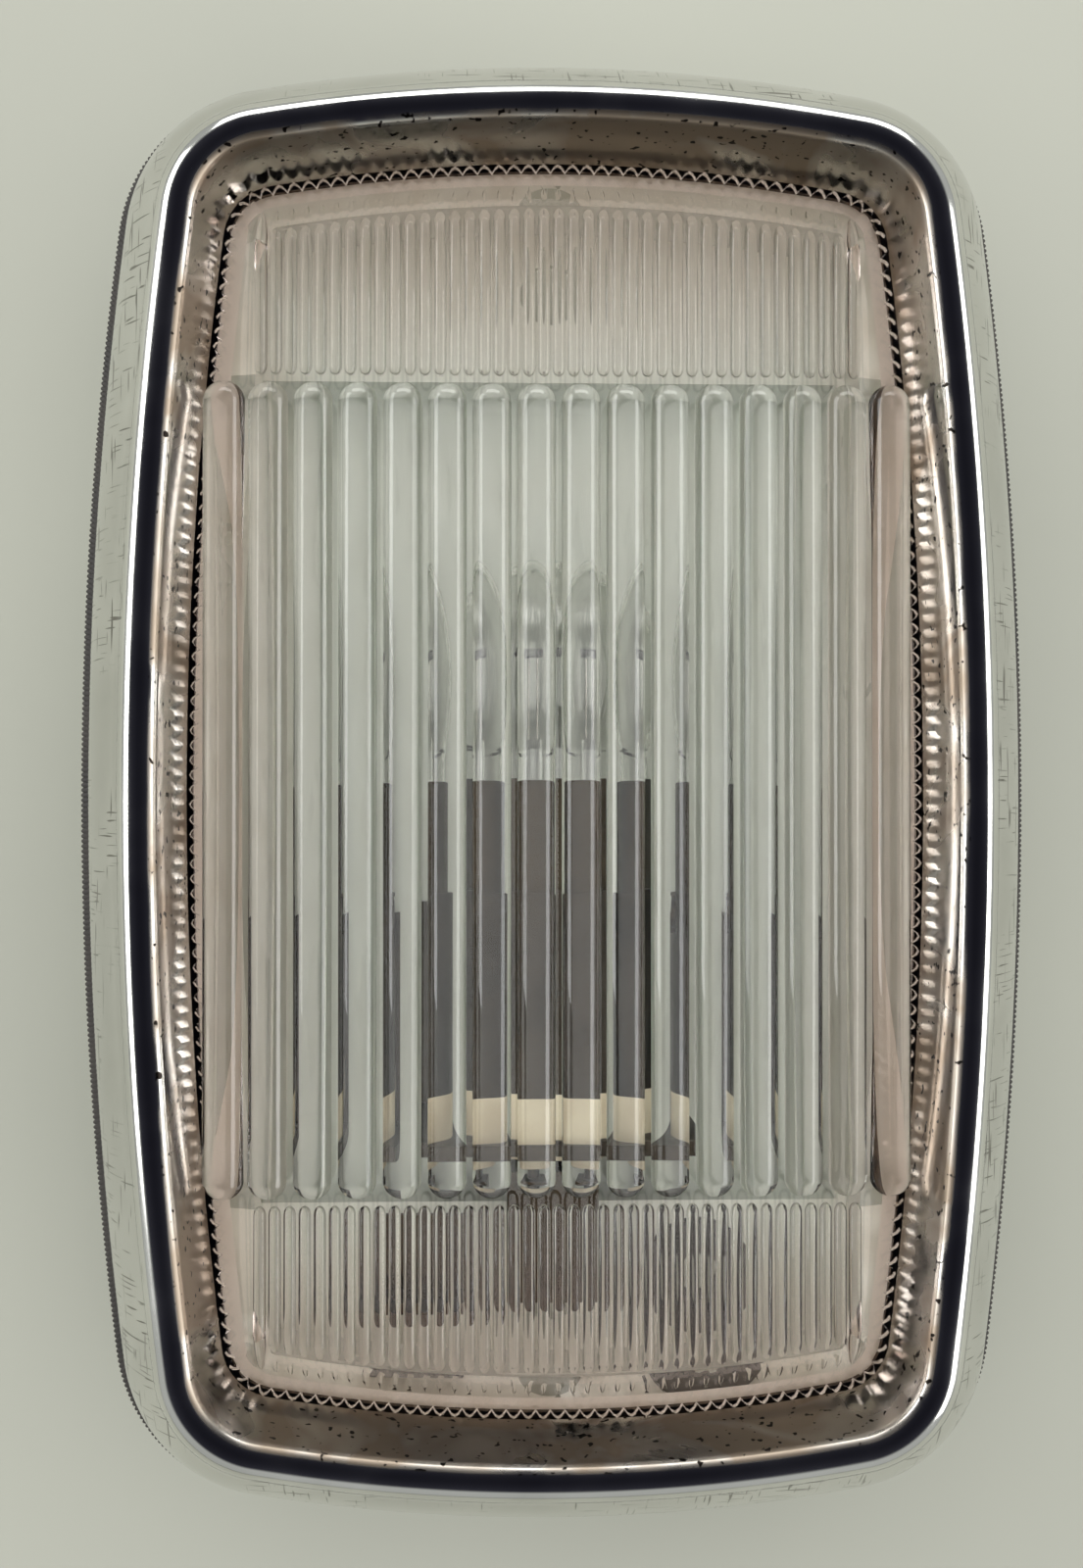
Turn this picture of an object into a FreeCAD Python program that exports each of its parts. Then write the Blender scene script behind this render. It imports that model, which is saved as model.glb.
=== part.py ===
import FreeCAD, Part
import math
import os

import Sketcher
from FreeCAD import Vector

# Recessed car interior lamp: chrome bezel, ribbed clear lens, white pan, bayonet bulb and holder.
# Millimetres. +Z leaves the lens, +Y is the long way, z = 0 is the rear face of the pan's two shelves.

doc = FreeCAD.newDocument("interior_lamp")
sizes = doc.addObject("Spreadsheet::Sheet", "sizes")

DRIVING_SIZES = {
    # Plan outline of the bezel's base edge: a barrel of four arcs with rounded corners
    "half_width": 31.0,
    "half_length": 48.0,
    "side_radius": 290.0,
    "end_radius": 115.0,
    "corner_radius": 10.5,
    # Levels
    "shelf_to_panel": 10.0,
    "shelf_to_floor": 8.0,
    "gasket_thickness": 1.2,
    "gasket_overhang": 0.6,
    "gasket_ring_width": 8.0,
    "sheet_thickness": 0.8,
    "seal_thickness": 0.6,
    "seal_ring_width": 1.2,
    # Bezel section
    "skirt_run": 3.1,
    "skirt_rise": 8.0,
    "skirt_bow_radius": 14.0,
    "crown_width": 2.5,
    "crown_radius": 1.5,
    "recess_depth": 6.0,
    "recess_draft": 1.2,
    "bezel_wall": 1.3,
    # Lens
    "lens_lip_thickness": 1.4,
    "lens_lip_reach": 0.9,
    "lens_clearance": 0.3,
    "lens_flange_rise": 1.0,
    "tooth_pitch": 0.96,
    "tooth_depth": 0.5,
    "block_rise": 1.3,
    "block_inset": 1.6,
    "block_slope_run": 0.9,
    "bar_count": 16,
    "bars_from_edge": 7.96,
    "bar_groove": 0.16,
    "bar_half_length": 26.4,
    "bar_shoulder": 0.5,
    "flute_count": 41,
    "flutes_from_edge": 11.32,
    "flute_groove": 0.14,
    "flute_point": 1.6,
    "flute_end_gap": 0.3,
    "flute_end_inset": 0.5,
    # Pan
    "flange_inset": 2.2,
    "dish_inset": 7.4,
    "dish_edge_radius": 2.0,
    "well_step": 0.8,
    "shelf_from_end": 18.0,
    "fixing_hole_from_end": 12.5,
    "fixing_hole_diameter": 4.3,
    "cable_hole_diameter": 5.6,
    "cable_hole_across": 10.5,
    "cable_hole_from_end": 13.6,
    # Bezel spring clips
    "clip_length": 16.0,
    "clip_sheet": 0.5,
    "clip_foot": 2.2,
    "clip_rise": 2.0,
    "clip_clearance": 0.35,
    "clip_rivet_spacing": 10.0,
    "clip_rivet_diameter": 1.0,
    "clip_rivet_head": 1.5,
    "clip_rivet_head_height": 0.5,
    # Bulb
    "bulb_axis_height": 2.6,
    "cap_length": 15.0,
    "cap_radius": 7.5,
    "cap_wall": 0.5,
    "pin_from_front": 9.0,
    "pin_radius": 1.0,
    "pin_reach": 1.0,
    "glass_radius": 8.4,
    "glass_wall": 0.6,
    "glass_length": 15.4,
    "glass_neck_depth": 4.0,
    "neck_clearance": 0.2,
    "button_thickness": 1.6,
    "button_radius": 5.0,
    "solder_radius": 2.4,
    "solder_height": 1.2,
    "stem_reach": 7.0,
    "stem_radius": 2.2,
    "stem_foot_thickness": 0.8,
    "filament_from_cap": 9.0,
    "filament_half_length": 2.6,
    "filament_radius": 0.35,
    "support_radius": 0.25,
    # Holder
    "sleeve_clearance": 0.35,
    "sleeve_wall": 0.8,
    "sleeve_setback": 7.5,
    "plate_from_step": 6.8,
    "plate_thickness": 1.0,
    "plate_width": 20.0,
    "plate_above_sleeve": 0.6,
    "foot_length": 15.0,
    "slot_clearance": 0.25,
    "slot_turn": 3.2,
    "disc_thickness": 3.0,
    "plunger_radius": 1.6,
    "plunger_head_radius": 2.6,
    "plunger_head_height": 0.6,
    "plunger_clearance": 0.1,
    "spring_rim_radius": 5.5,
    "spring_length": 2.6,
    "spring_sheet": 0.5,
    "spring_clearance": 0.4,
    "bush_radius": 3.4,
    "bush_flange_radius": 5.0,
    "bush_flange_height": 1.0,
    "blade_width": 6.3,
    "blade_thickness": 0.8,
    "blade_reach": 9.0,
    "foot_rivet_spacing": 12.0,
    "foot_rivet_along": 3.0,
    "foot_rivet_diameter": 2.4,
    "foot_rivet_head": 4.0,
    "foot_rivet_head_height": 0.8,
    "rivet_clearance": 0.05,
    "earth_blade_across": -9.0,
    "earth_blade_length": 12.0,
    "earth_blade_rise": 5.0,
    # Grommet
    "grommet_bore": 3.2,
    "grommet_flange": 8.0,
    "grommet_flange_height": 1.2,
    "grommet_clearance": 0.1,
}

DERIVED_SIZES = {
    "panel_z": "shelf_to_panel",
    "seat_z": "panel_z + gasket_thickness",
    "flange_top": "seat_z + sheet_thickness",
    "lens_seat": "flange_top + seal_thickness",
    "foot_z": "lens_seat + lens_lip_thickness",
    "lip_z": "foot_z + recess_depth",
    "crown_start_z": "seat_z + skirt_rise",
    "lip_inset": "skirt_run + crown_width",
    "foot_inset": "lip_inset + recess_draft",
    "cavity_foot_inset": "foot_inset - bezel_wall",
    "lens_rim_inset": "foot_inset + lens_clearance",
    "lens_lip_inset": "foot_inset - lens_lip_reach",
    "flange_face_z": "foot_z + lens_flange_rise",
    "block_top_z": "flange_face_z + block_rise",
    "bar_pitch": "2 * ( half_width - bars_from_edge ) / bar_count",
    "bar_radius": "bar_pitch / 2 - bar_groove / 2",
    "flute_pitch": "2 * ( half_width - flutes_from_edge ) / flute_count",
    "flute_radius": "flute_pitch / 2 - flute_groove / 2",
    "floor_z": "-shelf_to_floor",
    "floor_top": "floor_z + sheet_thickness",
    "shelf_top": "sheet_thickness",
    "dish_wall_inset": "dish_inset + sheet_thickness",
    "fixing_hole_along": "half_length - fixing_hole_from_end",
    "cable_hole_along": "half_length - cable_hole_from_end",
    "shelf_from_middle": "half_length - shelf_from_end",
    "plate_face": "plate_from_step - shelf_from_middle",
    "disc_front": "plate_face + disc_thickness",
    "spring_front": "disc_front + spring_length",
    "contact_y": "spring_front + plunger_head_height",
    "button_rear": "contact_y + solder_height",
    "cap_rear": "button_rear + button_thickness",
    "cap_front": "cap_rear + cap_length",
    "glass_tip": "cap_front + glass_length",
    "filament_offset": "cap_front + filament_from_cap",
    "sleeve_front": "cap_front - sleeve_setback",
    "clip_edge": "cavity_foot_inset - clip_clearance",
    "clip_back": "clip_edge - clip_foot",
    "neck_end": "cap_front - glass_neck_depth",
    "neck_radius": "cap_radius - cap_wall - neck_clearance",
    "neck_bore": "neck_radius - glass_wall",
    "globe_centre": "glass_tip - glass_radius",
    "globe_bore": "glass_radius - glass_wall",
    "pin_y": "cap_front - pin_from_front",
    "sleeve_bore": "cap_radius + sleeve_clearance",
    "sleeve_radius": "sleeve_bore + sleeve_wall",
    "plate_rear": "plate_face - plate_thickness",
    "plate_top": "bulb_axis_height + sleeve_radius + plate_above_sleeve",
    "foot_top": "floor_top + plate_thickness",
    "bush_rear": "plate_rear - bush_flange_height",
    "plunger_end": "bush_rear - bush_flange_height",
    "blade_rear": "plunger_end - blade_thickness",
}

for row, (name, value) in enumerate(DRIVING_SIZES.items(), start=1):
    sizes.set(f"A{row}", name.replace("_", " "))
    sizes.set(f"B{row}", str(value))
    sizes.setAlias(f"B{row}", name)
for row, (name, formula) in enumerate(DERIVED_SIZES.items(), start=len(DRIVING_SIZES) + 1):
    sizes.set(f"A{row}", name.replace("_", " "))
    sizes.set(f"B{row}", "=" + formula)
    sizes.setAlias(f"B{row}", name)
    doc.recompute()

pieces = []


def size(name):
    return float(sizes.get(name))


def in_sheet(expression):
    """Write each size's name in an expression the way another object refers to the sheet."""
    words = []
    for word in expression.split():
        words.append("sizes." + word if word in DRIVING_SIZES or word in DERIVED_SIZES else word)
    return " ".join(words)


def worth(expression):
    return float(sizes.evalExpression(in_sheet(expression)))


def bind(thing, path, expression):
    thing.setExpression(path, in_sheet(expression))


def new_body(label):
    body = doc.addObject("PartDesign::Body", label)
    body.Label = label
    pieces.append(body)
    return body


def new_sketch(body, name, plane, lift="0", shift="0"):
    """A sketch on one of the body's origin planes, lifted off it and shifted along its own vertical."""
    sketch = body.newObject("Sketcher::SketchObject", f"{body.Name}_{name}")
    support = next(f for f in body.Origin.OriginFeatures if f.Role == plane)
    sketch.AttachmentSupport = [(support, "")]
    sketch.MapMode = "FlatFace"
    bind(sketch, "AttachmentOffset.Base.z", lift)
    bind(sketch, "AttachmentOffset.Base.y", shift)
    return sketch


def place_point(sketch, geometry, point, across, up):
    """Hold a sketch point at two sheet expressions, measured from the sketch's origin."""
    for kind, expression in (("DistanceX", across), ("DistanceY", up)):
        value = worth(expression)
        if abs(value) < 1e-9:
            axis = -2 if kind == "DistanceX" else -1
            sketch.addConstraint(Sketcher.Constraint("PointOnObject", geometry, point, axis))
            continue
        ends = (-1, 1, geometry, point) if value > 0 else (geometry, point, -1, 1)
        index = sketch.addConstraint(Sketcher.Constraint(kind, *ends, abs(value)))
        bind(sketch, f"Constraints[{index}]", expression if value > 0 else f"-1 * ( {expression} )")


def draw_outline(sketch, corners):
    """A closed outline: each corner is (across, up), with a signed radius where an arc leads to the next."""
    points = [Vector(worth(corner[0]), worth(corner[1]), 0) for corner in corners]
    edges = []
    for index, corner in enumerate(corners):
        start, end = points[index], points[(index + 1) % len(points)]
        if len(corner) == 2:
            edges.append(sketch.addGeometry(Part.LineSegment(start, end)))
            continue
        radius = worth(corner[2])
        chord = end - start
        normal = Vector(-chord.y, chord.x, 0) / chord.Length
        side = math.copysign(1.0, radius)
        sagitta = abs(radius) - math.sqrt(radius * radius - chord.Length ** 2 / 4)
        bulge = (start + end) / 2 - normal * side * sagitta
        edges.append(sketch.addGeometry(Part.Arc(start, bulge, end)))
    for index, corner in enumerate(corners):
        here, after = edges[index], edges[(index + 1) % len(edges)]
        turns_left = len(corner) == 2 or worth(corner[2]) > 0
        first, last = (1, 2) if turns_left else (2, 1)
        following = corners[(index + 1) % len(corners)]
        next_first = 1 if len(following) == 2 or worth(following[2]) > 0 else 2
        sketch.addConstraint(Sketcher.Constraint("Coincident", here, last, after, next_first))
        place_point(sketch, here, first, corner[0], corner[1])
        if len(corner) == 3:
            radius = abs(worth(corner[2]))
            held = sketch.addConstraint(Sketcher.Constraint("Radius", here, radius))
            bind(sketch, f"Constraints[{held}]", corner[2] if turns_left else f"-1 * ( {corner[2]} )")


def draw_circle(sketch, across, up, radius):
    circle = Part.Circle(Vector(worth(across), worth(up), 0), Vector(0, 0, 1), worth(radius))
    index = sketch.addGeometry(circle)
    place_point(sketch, index, 3, across, up)
    held = sketch.addConstraint(Sketcher.Constraint("Radius", index, worth(radius)))
    bind(sketch, f"Constraints[{held}]", radius)


def barrel_centres():
    """Centres of the right side arc, the far end arc and the corner arc between them."""
    side = Vector(size("half_width") - size("side_radius"), 0, 0)
    end = Vector(0, size("half_length") - size("end_radius"), 0)
    to_side = size("side_radius") - size("corner_radius")
    to_end = size("end_radius") - size("corner_radius")
    apart = end - side
    along = (to_side ** 2 - to_end ** 2 + apart.Length ** 2) / (2 * apart.Length)
    off = math.sqrt(to_side ** 2 - along ** 2)
    unit = apart / apart.Length
    corner = side + unit * along + Vector(-unit.y, unit.x, 0) * off
    return side, end, corner


def barrel_arcs(inset):
    """The eight arcs of the outline at an inset from the bezel's base edge, anticlockwise from the right side."""
    side, end, corner = barrel_centres()
    to_corner = corner - side
    side_turn = math.atan2(to_corner.y, to_corner.x)
    to_corner = corner - end
    end_turn = math.atan2(to_corner.y, to_corner.x)
    side_radius = size("side_radius") - inset
    end_radius = size("end_radius") - inset
    corner_radius = size("corner_radius") - inset
    half, whole = math.pi, 2 * math.pi
    return [
        (side, side_radius, -side_turn, side_turn),
        (corner, corner_radius, side_turn, end_turn),
        (end, end_radius, end_turn, half - end_turn),
        (Vector(-corner.x, corner.y, 0), corner_radius, half - end_turn, half - side_turn),
        (-side, side_radius, half - side_turn, half + side_turn),
        (-corner, corner_radius, half + side_turn, half + end_turn),
        (-end, end_radius, half + end_turn, whole - end_turn),
        (Vector(corner.x, -corner.y, 0), corner_radius, whole - end_turn, whole - side_turn),
    ]


def draw_barrel(sketch, inset):
    """The barrel outline at an inset, with its arcs held tangent and their radii tied to the sheet."""
    up = Vector(0, 0, 1)
    arcs = []
    for centre, radius, start, stop in barrel_arcs(worth(inset)):
        arcs.append(sketch.addGeometry(Part.ArcOfCircle(Part.Circle(centre, up, radius), start, stop)))
    for index, arc in enumerate(arcs):
        after = arcs[(index + 1) % len(arcs)]
        sketch.addConstraint(Sketcher.Constraint("Tangent", arc, 2, after, 1))
    radii = ("side_radius", "corner_radius", "end_radius", "corner_radius")
    for index, arc in enumerate(arcs):
        expression = f"{radii[index % len(radii)]} - ( {inset} )"
        held = sketch.addConstraint(Sketcher.Constraint("Radius", arc, worth(expression)))
        bind(sketch, f"Constraints[{held}]", expression)
    place_point(sketch, arcs[0], 3, "half_width - side_radius", "0")
    place_point(sketch, arcs[2], 3, "0", "half_length - end_radius")
    place_point(sketch, arcs[4], 3, "side_radius - half_width", "0")
    place_point(sketch, arcs[6], 3, "0", "end_radius - half_length")


def pad(body, sketch, length, reverse=False):
    feature = body.newObject("PartDesign::Pad", f"{sketch.Name}_pad")
    feature.Profile = sketch
    feature.Reversed = reverse
    bind(feature, "Length", length)
    doc.recompute()
    return feature


def pad_both_ways(body, sketch, length):
    feature = body.newObject("PartDesign::Pad", f"{sketch.Name}_pad")
    feature.Profile = sketch
    feature.Midplane = True
    bind(feature, "Length", length)
    doc.recompute()
    return feature


def pocket(body, sketch, depth, reverse=False):
    """Cut a sketch into the body; the cut is refused if it takes nothing away."""
    before = body.Shape.Volume
    feature = body.newObject("PartDesign::Pocket", f"{sketch.Name}_cut")
    feature.Profile = sketch
    feature.Reversed = reverse
    bind(feature, "Length", depth)
    doc.recompute()
    if body.Shape.Volume >= before:
        raise RuntimeError(f"{sketch.Name} cuts nothing")
    return feature


def revolve(body, sketch):
    """Turn a profile drawn beside the sketch's horizontal axis all the way round it."""
    feature = body.newObject("PartDesign::Revolution", f"{sketch.Name}_turn")
    feature.Profile = sketch
    feature.ReferenceAxis = (sketch, ["H_Axis"])
    feature.Angle = 360.0
    doc.recompute()
    return feature


def ring_piece(label, outer_inset, inner_inset, bottom, thickness):
    """A flat ring between two barrel outlines."""
    body = new_body(label)
    plate = new_sketch(body, "plate", "XY_Plane", bottom)
    draw_barrel(plate, outer_inset)
    pad(body, plate, thickness)
    opening = new_sketch(body, "opening", "XY_Plane", bottom)
    draw_barrel(opening, inner_inset)
    pocket(body, opening, thickness, reverse=True)
    return body


def turned_piece(label, corners):
    """A round piece on the bulb's axis; each corner of its half section is (along Y, distance from the axis)."""
    body = new_body(label)
    half_section = new_sketch(body, "half_section", "YZ_Plane", shift="bulb_axis_height")
    draw_outline(half_section, corners)
    revolve(body, half_section)
    return body


def make_bezel():
    """Plated die-cast frame: one hollow section led round the barrel outline."""
    body = new_body("bezel")
    path = new_sketch(body, "base_edge", "XY_Plane", "seat_z")
    draw_barrel(path, "0")
    section = new_sketch(body, "section", "XZ_Plane")
    draw_outline(section, [
        ("half_width", "seat_z", "skirt_bow_radius"),
        ("half_width - skirt_run", "crown_start_z", "crown_radius"),
        ("half_width - lip_inset", "lip_z"),
        ("half_width - foot_inset", "foot_z"),
        ("half_width - cavity_foot_inset", "foot_z"),
        ("half_width - lip_inset + bezel_wall", "lip_z - bezel_wall"),
        ("half_width - skirt_run - bezel_wall", "crown_start_z - bezel_wall"),
        ("half_width - bezel_wall", "seat_z"),
    ])
    sweep = body.newObject("PartDesign::AdditivePipe", "bezel_sweep")
    sweep.Profile = section
    sweep.Spine = (path, [f"Edge{number + 1}" for number in range(8)])
    doc.recompute()


def round_ended_bar(radius, start, end, across, height):
    """A bar along Y with ball ends, from start to end."""
    middle = Part.makeCylinder(radius, end - start - 2 * radius, Vector(across, start + radius, height),
                               Vector(0, 1, 0))
    near = Part.makeSphere(radius, Vector(across, start + radius, height))
    far = Part.makeSphere(radius, Vector(across, end - radius, height))
    return middle.fuse([near, far])


def point_ended_rib(radius, start, end, across, height):
    """A rib along Y with cone ends, from start to end."""
    along = Vector(0, 1, 0)
    point = size("flute_point") * radius
    middle = Part.makeCylinder(radius, end - start - 2 * point, Vector(across, start + point, height), along)
    near = Part.makeCone(0, radius, point, Vector(across, start, height), along)
    far = Part.makeCone(radius, 0, point, Vector(across, end - point, height), along)
    return middle.fuse([near, far])


def barrel_wire(inset, height):
    up = Vector(0, 0, 1)
    lift = Vector(0, 0, height)
    arcs = [Part.ArcOfCircle(Part.Circle(centre + lift, up, radius), start, stop).toShape()
            for centre, radius, start, stop in barrel_arcs(inset)]
    return Part.Wire(arcs)


def toothed_wire(inset, height):
    """The rim outline with a row of V-shaped prisms, evenly spaced along it."""
    stations = barrel_arcs(inset)
    lengths = [radius * (stop - start) for _, radius, start, stop in stations]
    teeth = round(sum(lengths) / size("tooth_pitch"))
    step = sum(lengths) / (2 * teeth)
    points = []
    for index in range(2 * teeth):
        run = index * step
        arc = 0
        while run > lengths[arc]:
            run -= lengths[arc]
            arc += 1
        centre, radius, start, stop = stations[arc]
        turn = start + (stop - start) * run / lengths[arc]
        reach = radius - size("tooth_depth") * (index % 2)
        points.append(centre + Vector(reach * math.cos(turn), reach * math.sin(turn), height))
    return Part.makePolygon(points + points[:1])


def flute_end(across):
    """How far along Y the fine ribs reach at a place across the lens: they stop short of the block's end arc."""
    _, end, _ = barrel_centres()
    inset = size("lens_rim_inset") + size("block_inset") + size("block_slope_run") + size("flute_end_inset")
    radius = size("end_radius") - inset
    return end.y + math.sqrt(radius ** 2 - across ** 2)


def make_lens():
    """Clear moulding: hidden lip, toothed flange, raised block, wide bars across the middle, fine ribs at the ends."""
    lens = doc.addObject("Part::Feature", "lens")
    lens.Label = "lens"
    pieces.append(lens)
    seat, foot, face, top = (size(name) for name in ("lens_seat", "foot_z", "flange_face_z", "block_top_z"))
    lip = Part.Face(barrel_wire(size("lens_lip_inset"), seat)).extrude(Vector(0, 0, foot - seat))
    flange = Part.Face(toothed_wire(size("lens_rim_inset"), foot)).extrude(Vector(0, 0, face - foot))
    block_foot = size("lens_rim_inset") + size("block_inset")
    block = Part.makeLoft([barrel_wire(block_foot, face), barrel_wire(block_foot + size("block_slope_run"), top)],
                          True, True)
    bars = []
    first = -(size("bar_count") - 1) / 2 * size("bar_pitch")
    for index in range(int(size("bar_count"))):
        bars.append(round_ended_bar(size("bar_radius"), -size("bar_half_length"), size("bar_half_length"),
                            first + index * size("bar_pitch"), top - size("bar_shoulder")))
    first = -(size("flute_count") - 1) / 2 * size("flute_pitch")
    start = size("bar_half_length") + size("flute_end_gap")
    for index in range(int(size("flute_count"))):
        across = first + index * size("flute_pitch")
        far = point_ended_rib(size("flute_radius"), start, flute_end(across), across, top)
        bars.append(far)
        bars.append(far.mirror(Vector(0, 0, 0), Vector(0, 1, 0)))
    lens.Shape = lip.fuse(flange).fuse(block).multiFuse(bars).removeSplitter()


def round_floor_edges(body, name, level, radius):
    """Round every edge of the body that lies flat at a level."""
    height = worth(level)
    rims = [f"Edge{index + 1}" for index, edge in enumerate(body.Shape.Edges)
            if max(abs(edge.BoundBox.ZMax - height), abs(edge.BoundBox.ZMin - height)) < 1e-6]
    base = body.Tip
    rounding = body.newObject("PartDesign::Fillet", f"{body.Name}_{name}_round")
    rounding.Base = (base, rims)
    bind(rounding, "Radius", radius)
    doc.recompute()


def make_pan():
    """White sheet pan: flange on the gasket, a deep dish for the bulb and a raised shelf at each end."""
    body = new_body("reflector_pan")
    flange = new_sketch(body, "flange", "XY_Plane", "seat_z")
    draw_barrel(flange, "flange_inset")
    pad(body, flange, "sheet_thickness")
    dish = new_sketch(body, "dish", "XY_Plane", "0")
    draw_barrel(dish, "dish_inset")
    pad(body, dish, "seat_z")
    deep = new_sketch(body, "deep", "XY_Plane", "floor_z")
    draw_outline(deep, deep_corners("dish_inset + well_step", "0"))
    pad(body, deep, "shelf_to_floor")
    round_floor_edges(body, "outer", "floor_z", "dish_edge_radius")
    hollow = new_sketch(body, "hollow", "XY_Plane", "shelf_top")
    draw_barrel(hollow, "dish_wall_inset")
    pocket(body, hollow, "flange_top - shelf_top", reverse=True)
    well = new_sketch(body, "well", "XY_Plane", "floor_top")
    draw_outline(well, deep_corners("dish_wall_inset + well_step", "sheet_thickness"))
    pocket(body, well, "shelf_top - floor_top", reverse=True)
    round_floor_edges(body, "inner", "floor_top", "dish_edge_radius - sheet_thickness")
    holes = new_sketch(body, "holes", "XY_Plane", "0")
    draw_circle(holes, "0", "fixing_hole_along", "fixing_hole_diameter / 2")
    draw_circle(holes, "0", "-1 * fixing_hole_along", "fixing_hole_diameter / 2")
    draw_circle(holes, "cable_hole_across", "-1 * cable_hole_along", "cable_hole_diameter / 2")
    pocket(body, holes, "sheet_thickness", reverse=True)
    rivet_holes = new_sketch(body, "rivet_holes", "XY_Plane", "seat_z")
    for side in ("", "-1 * "):
        for end in ("", "-1 * "):
            draw_circle(rivet_holes, f"{side}( {CLIP_RIVET_ACROSS} )", f"{end}( clip_rivet_spacing / 2 )",
                        "clip_rivet_diameter / 2 + rivet_clearance")
    pocket(body, rivet_holes, "sheet_thickness", reverse=True)
    floor_holes = new_sketch(body, "floor_holes", "XY_Plane", "floor_z")
    for side in ("", "-1 * "):
        draw_circle(floor_holes, f"{side}( foot_rivet_spacing / 2 )", FOOT_RIVET_ALONG,
                    "foot_rivet_diameter / 2 + rivet_clearance")
    pocket(body, floor_holes, "sheet_thickness", reverse=True)


def deep_corners(inset, wall):
    """Plan of the deep part of the dish: bowed sides between two straight steps."""
    side = f"( half_width - ( {inset} ) )"
    step = f"( shelf_from_middle - ( {wall} ) )"
    radius = f"( side_radius - ( {inset} ) )"
    drop = f"( {radius} - sqrt( {radius} ^ 2 - {step} ^ 2 ) )"
    return [
        (f"{side} - {drop}", f"-1 * {step}", radius),
        (f"{side} - {drop}", step),
        (f"-1 * ( {side} - {drop} )", step, radius),
        (f"-1 * ( {side} - {drop} )", f"-1 * {step}"),
    ]


CLIP_RIVET_ACROSS = "half_width - clip_edge + clip_foot / 2 - clip_sheet / 2"
FOOT_RIVET_ALONG = "plate_face + foot_rivet_along"


def make_bezel_clip(label, side):
    """Spring clip that grips the bezel from inside its hollow: a riveted foot and an upright leaf."""
    body = new_body(label)
    section = new_sketch(body, "section", "XZ_Plane")
    toe = f"{side} * ( half_width - clip_edge )"
    back = f"{side} * ( half_width - clip_back )"
    leaf = f"{side} * ( half_width - clip_back - clip_sheet )"
    corners = [
        (toe, "flange_top"),
        (back, "flange_top"),
        (back, "flange_top + clip_rise"),
        (leaf, "flange_top + clip_rise"),
        (leaf, "flange_top + clip_sheet"),
        (toe, "flange_top + clip_sheet"),
    ]
    draw_outline(section, corners)
    pad_both_ways(body, section, "clip_length")
    holes = new_sketch(body, "holes", "XY_Plane", "flange_top")
    for end in ("", "-1 * "):
        draw_circle(holes, f"{side} * ( {CLIP_RIVET_ACROSS} )", f"{end}( clip_rivet_spacing / 2 )",
                    "clip_rivet_diameter / 2 + rivet_clearance")
    pocket(body, holes, "clip_sheet", reverse=True)


def make_rivets(label, places, bottom, shank_diameter, grip, head_diameter, head_height):
    """A group of rivets standing along Z: each a shank through the sheets and a round head on top."""
    parts = []
    for number, (across, along) in enumerate(places):
        shank = doc.addObject("Part::Cylinder", f"{label}_shank_{number}")
        bind(shank, "Radius", f"{shank_diameter} / 2")
        bind(shank, "Height", grip)
        head = doc.addObject("Part::Cylinder", f"{label}_head_{number}")
        bind(head, "Radius", f"{head_diameter} / 2")
        bind(head, "Height", head_height)
        for cylinder, height in ((shank, bottom), (head, f"{bottom} + {grip}")):
            bind(cylinder, "Placement.Base.x", across)
            bind(cylinder, "Placement.Base.y", along)
            bind(cylinder, "Placement.Base.z", height)
        rivet = doc.addObject("Part::Fuse", f"{label}_{number}")
        rivet.Base = shank
        rivet.Tool = head
        parts.append(rivet)
    group = doc.addObject("Part::Compound", label)
    group.Label = label
    group.Links = parts
    pieces.append(group)


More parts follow.
